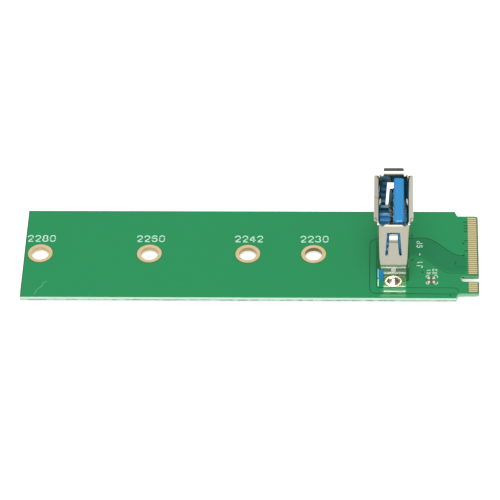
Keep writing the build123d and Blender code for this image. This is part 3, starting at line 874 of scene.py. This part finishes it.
def mesh_piece(name, grids, material):
    """Joins grids, each closed round its columns, into one mesh with both ends of each grid capped."""
    vertices, faces, offset = [], [], 0
    for grid in grids:
        rows, columns = grid.shape[:2]
        index = offset + np.arange(rows * columns).reshape(rows, columns)
        turned = np.roll(index, -1, axis=1)
        quads = np.stack([index[:-1], turned[:-1], turned[1:], index[1:]], axis=2).reshape(-1, 4)
        faces += quads.tolist() + [index[0][::-1].tolist(), index[-1].tolist()]
        vertices.append(grid.reshape(-1, 3) * MM)
        offset += rows * columns
    mesh = bpy.data.meshes.new(name)
    mesh.from_pydata(np.vstack(vertices).tolist(), [], faces)
    mesh.materials.append(material)
    piece = bpy.data.objects.new(name, mesh)
    bpy.context.scene.collection.objects.link(piece)
    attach(piece, "root")
    print(name, "faces:", len(mesh.polygons))


print("points in a dome:", dome((0, 0), 1, (0, 1)).shape[:2])

# %% [markdown]
# ## Etched lines under the mask
# Where the copper is etched away round a trace, the mask sinks a little and looks darker. At this size
# each gap reads as one thin dark line, so it is a ribbon a few microns proud of the mask. The upper
# and lower lines follow the waves that bound the bare zone.

# %% Etched lines
LINE_LAYER = (CARD_TOP - 0.02, CARD_TOP + 0.004)
LOOP_WIDTH, WAVE_WIDTH, FAINT_WIDTH, STUB_WIDTH = 0.17, 0.24, 0.14, 0.28
GAP_GREEN, FAINT_GREEN = (0.004, 0.125, 0.045, 1), (0.004, 0.15, 0.055, 1)
WAVE_POINTS = 40
WAVE_START_X, WAVE_STOP_X, UPPER_LIFT = -12.4, -2.6, 0.12
STUB_X = (-2.5, -2.3, -2.05)
STUB_PLACES = (8.3, 7.4, 6.65, 5.9, 3.5, 0.96)

gap_look = {"gloss": (0.2, 0.3), "ripple": (700.0, 10), "Specular_IOR_Level": 0.2}
gap_green = finish("etched_gap", GAP_GREEN, PLASTIC, **gap_look)
faint_green = finish("faint_gap", FAINT_GREEN, PLASTIC, **gap_look)


def wave(start, end):
    """S-shaped path from start to end: y moves by t*t*(3 - 2t) as x moves by t."""
    t = np.linspace(0, 1, WAVE_POINTS)
    return np.column_stack([start[0] + (end[0] - start[0]) * t,
                            start[1] + (end[1] - start[1]) * t * t * (3 - 2 * t)])


outer_loop = rounded_path([(-17.6, 3.95), (-19.75, 3.75), (-19.75, -9.85), (-4.2, -9.95)], radius=1.5)
inner_loop = rounded_path([(-18.47, 3.2), (-18.47, -8.35), (-4.6, -8.42), (-3.9, -8.6), (-3.75, -9.3)],
                          radius=0.25)
side_trace = rounded_path([(-4.25, -2.2), (-4.1, -3.05), (-2.2, -3.12)], radius=0.2)
upper_line = np.vstack([(WAVE_START_X, UPPER_WAVE_Y[0]), wave(*zip(UPPER_WAVE_X, UPPER_WAVE_Y)),
                        (WAVE_STOP_X, UPPER_WAVE_Y[1] + UPPER_LIFT)])
lower_line = np.vstack([wave(*zip(LOWER_WAVE_X, LOWER_WAVE_Y)), (WAVE_STOP_X, LOWER_WAVE_Y[1])])

loops = [stroke(path, LOOP_WIDTH, LINE_LAYER) for path in (outer_loop, inner_loop)]
mesh_piece("etched_lines", loops + [stroke(upper_line, WAVE_WIDTH, LINE_LAYER)], gap_green)
mesh_piece("faint_lines", [stroke(path, FAINT_WIDTH, LINE_LAYER) for path in (lower_line, side_trace)],
           faint_green)
stubs = [stroke([(x, y) for x in STUB_X], STUB_WIDTH, LINE_LAYER) for y in STUB_PLACES]
mesh_piece("finger_stubs", stubs, gap_green)

# %% [markdown]
# ## Plated holes that the mask covers
# Small holes join the copper layers. The mask closes them, so each shows only as a dark dot.

# %% Covered holes
VIA_RADIUS, VIA_LAYER = 0.2, (CARD_TOP - 0.01, CARD_TOP + 0.02)
VIA_PLACES = ((-2.75, 2.8), (-2.72, -0.27), (-4.21, -2.07), (-5.23, -10.34), (-2.93, -5.8), (-12.1, 4.8),
              (-12.0, -1.4), (-10.2, -4.45))
COVERED_GREEN = (0.001, 0.045, 0.016, 1)
deep_green = finish("covered_hole", COVERED_GREEN, PLASTIC, gloss=(0.3, 0.4), ripple=(700.0, 10),
                    Specular_IOR_Level=0.1)
mesh_piece("covered_holes", [dome(place, VIA_RADIUS, VIA_LAYER) for place in VIA_PLACES], deep_green)

# %% [markdown]
# ## White print
# The print is silk-screened epoxy drawn by a round pen. The lengths beside the holes are plain
# figures, and the few letters are generic marks for parts. A text object would bring a font's own
# shapes, so each glyph is a list of pen strokes on a cell one unit high, and arcs are sampled from an
# ellipse.

# %% Pen strokes of each glyph
def arc(centre_x, centre_y, radius_x, radius_y, start, end, count=14):
    """Part of an ellipse between two angles in degrees."""
    angle = np.radians(np.linspace(start, end, count))
    return np.column_stack([centre_x + radius_x * np.cos(angle), centre_y + radius_y * np.sin(angle)])


def straight(*corners):
    """Separate straight strokes between corners, so that each corner is round."""
    corners = np.asarray(corners, float)
    return [np.linspace(start, end, 3) for start, end in zip(corners[:-1], corners[1:])]


stem = straight((0.33, 1.0), (0.0, 1.0), (0.0, 0.0)) + straight((0.0, 0.5), (0.33, 0.5))
bowl = arc(0.33, 0.75, 0.25, 0.25, 90, -90)
GLYPHS = {
    "0": [arc(0.3, 0.7, 0.28, 0.3, 0, 180), arc(0.3, 0.3, 0.28, 0.3, 180, 360)]
    + straight((0.02, 0.7), (0.02, 0.3)) + straight((0.58, 0.7), (0.58, 0.3)),
    "1": straight((0.15, 0.82), (0.32, 1.0), (0.32, 0.0)),
    "2": [arc(0.3, 0.7, 0.28, 0.3, 170, -40)] + straight((0.51, 0.51), (0.0, 0.0), (0.58, 0.0)),
    "3": [arc(0.28, 0.75, 0.26, 0.25, 160, -90), arc(0.28, 0.25, 0.3, 0.25, 90, -160)],
    "4": straight((0.43, 0.0), (0.43, 1.0), (-0.06, 0.30), (0.62, 0.30)),
    "6": [arc(0.3, 0.68, 0.28, 0.32, 30, 180), arc(0.3, 0.3, 0.28, 0.3, 180, -180, 22)]
    + straight((0.02, 0.68), (0.02, 0.3)),
    "8": [arc(0.3, 0.76, 0.25, 0.24, -90, 270, 20), arc(0.3, 0.26, 0.3, 0.26, 90, 450, 22)],
    "9": [arc(0.3, 0.32, 0.28, 0.32, -150, 0), arc(0.3, 0.7, 0.28, 0.3, 0, 360, 22)]
    + straight((0.58, 0.7), (0.58, 0.32)),
    "J": [arc(0.24, 0.26, 0.24, 0.26, 0, -170)] + straight((0.48, 0.26), (0.48, 1.0)),
    "P": stem + [bowl],
    "R": stem + straight((0.33, 0.5), (0.6, 0.0)) + [bowl],
    "-": straight((0.08, 0.46), (0.5, 0.46)),
    " ": [],
}
print("glyphs:", "".join(GLYPHS))

# %% [markdown]
# ## Lines of print
# A line of print sets glyph after glyph at an even pitch. The figures stand above their holes and read
# along the card, and the part marks are turned to read across it. Finer marks take a finer pen.

# %% Print on the card
PRINT_LAYER = (CARD_TOP - 0.01, CARD_TOP + 0.025)
PRINT_WHITE = (0.64, 1.0, 0.80, 1)
FIGURE_Y, FIGURE_SIZE, FIGURE_PITCH, FIGURE_PEN, FIGURE_STRETCH = 3.06, 1.5, 1.36, 0.185, 1.05
LEFT_OF_HOLE = {"2280": 2.52, "2260": 2.42, "2242": 2.42, "2230": 2.42}
NAME_PEN, CHIP_PEN = 0.15, 0.12
print_white = finish("print_epoxy", PRINT_WHITE, PLASTIC, gloss=(0.45, 0.6), ripple=(2500.0, 10))


def written(text, corner, size, pitch, pen, stretch=1.0, turned=False):
    """Strokes of a line of text from its lower left corner. Turned text reads along +Y. Millimetres."""
    strokes = []
    for place, glyph in enumerate(text):
        for path in GLYPHS[glyph]:
            plan = path * (size * stretch, size) + (place * pitch, 0.0)
            plan = np.column_stack([-plan[:, 1], plan[:, 0]]) if turned else plan
            strokes.append(stroke(plan + corner, pen, PRINT_LAYER))
    return strokes


hole_marks = []
for text, distance in LEFT_OF_HOLE.items():
    corner = (mounts["screw_hole_" + text][0] - distance, FIGURE_Y)
    hole_marks += written(text, corner, FIGURE_SIZE, FIGURE_PITCH, FIGURE_PEN, FIGURE_STRETCH)
mesh_piece("length_figures", hole_marks, print_white)

part_marks = written("J1 - 9P", (-10.22, -3.35), size=0.98, pitch=1.02, pen=NAME_PEN, turned=True)
part_marks += written("R1", (-8.76, -4.96), size=0.66, pitch=0.72, pen=CHIP_PEN, turned=True)
part_marks += written("R2", (-7.60, -4.96), size=0.78, pitch=0.76, pen=CHIP_PEN, turned=True)
mesh_piece("part_marks", part_marks, print_white)

# %% [markdown]
# ## Outlines printed round the parts
# A broken line runs beside the receptacle's foot, and brackets stand round the two empty places. They
# are straight strokes of the same pen, and loops over the four corners draw the brackets.

# %% Outline print
FOOT_PEN, BRACKET_PEN, BRACKET_LEG = 0.2, 0.13, 0.5
FOOT_X, FOOT_SPANS = -18.2, ((-5.85, -3.9), (-8.0, -6.3))
bracket_left, bracket_right, bracket_low, bracket_high = -9.53, -7.5, -7.47, -5.37


def ruled(start, end, pen):
    """One straight stroke of print."""
    return [stroke(path, pen, PRINT_LAYER) for path in straight(start, end)]


outline = []
for low, high in FOOT_SPANS:
    outline += ruled((FOOT_X, low), (FOOT_X, high), FOOT_PEN)
for x, inward_x in ((bracket_left, BRACKET_LEG), (bracket_right, -BRACKET_LEG)):
    for y, inward_y in ((bracket_low, BRACKET_LEG), (bracket_high, -BRACKET_LEG)):
        outline += ruled((x, y), (x + inward_x, y), BRACKET_PEN)
        outline += ruled((x, y), (x, y + inward_y), BRACKET_PEN)
mesh_piece("outline_print", outline, print_white)

# %% [markdown]
# ## Wear
# A card that has been handled carries a hairline scratch and a few specks in the mask. The scratch is
# one thin light stroke near the free end, and the specks are tiny domes.

# %% Scratch and specks
SCUFFED_GREEN = (0.18, 0.58, 0.32, 1)
SCRATCH_WIDTH = 0.07
SPECK_RADIUS, SPECK_LAYER = 0.09, (LINE_LAYER[0], CARD_TOP + 0.008)
SPECK_PLACES = ((-51.82, 5.36), (-71.83, -7.23), (-54.28, -7.75), (-70.16, -10.5), (-80.65, 5.36))
scuffed = finish("scuffed_mask", SCUFFED_GREEN, PLASTIC, gloss=(0.5, 0.7), ripple=(2500.0, 10))
scratch = rounded_path([(-80.3, -10.45), (-79.9, -9.2), (-79.1, -8.3), (-78.8, -7.35), (-78.2, -7.06)],
                       radius=0.2)
mesh_piece("scratch", [stroke(scratch, SCRATCH_WIDTH, LINE_LAYER)], scuffed)
mesh_piece("specks", [dome(place, SPECK_RADIUS, SPECK_LAYER, turns=10) for place in SPECK_PLACES], scuffed)
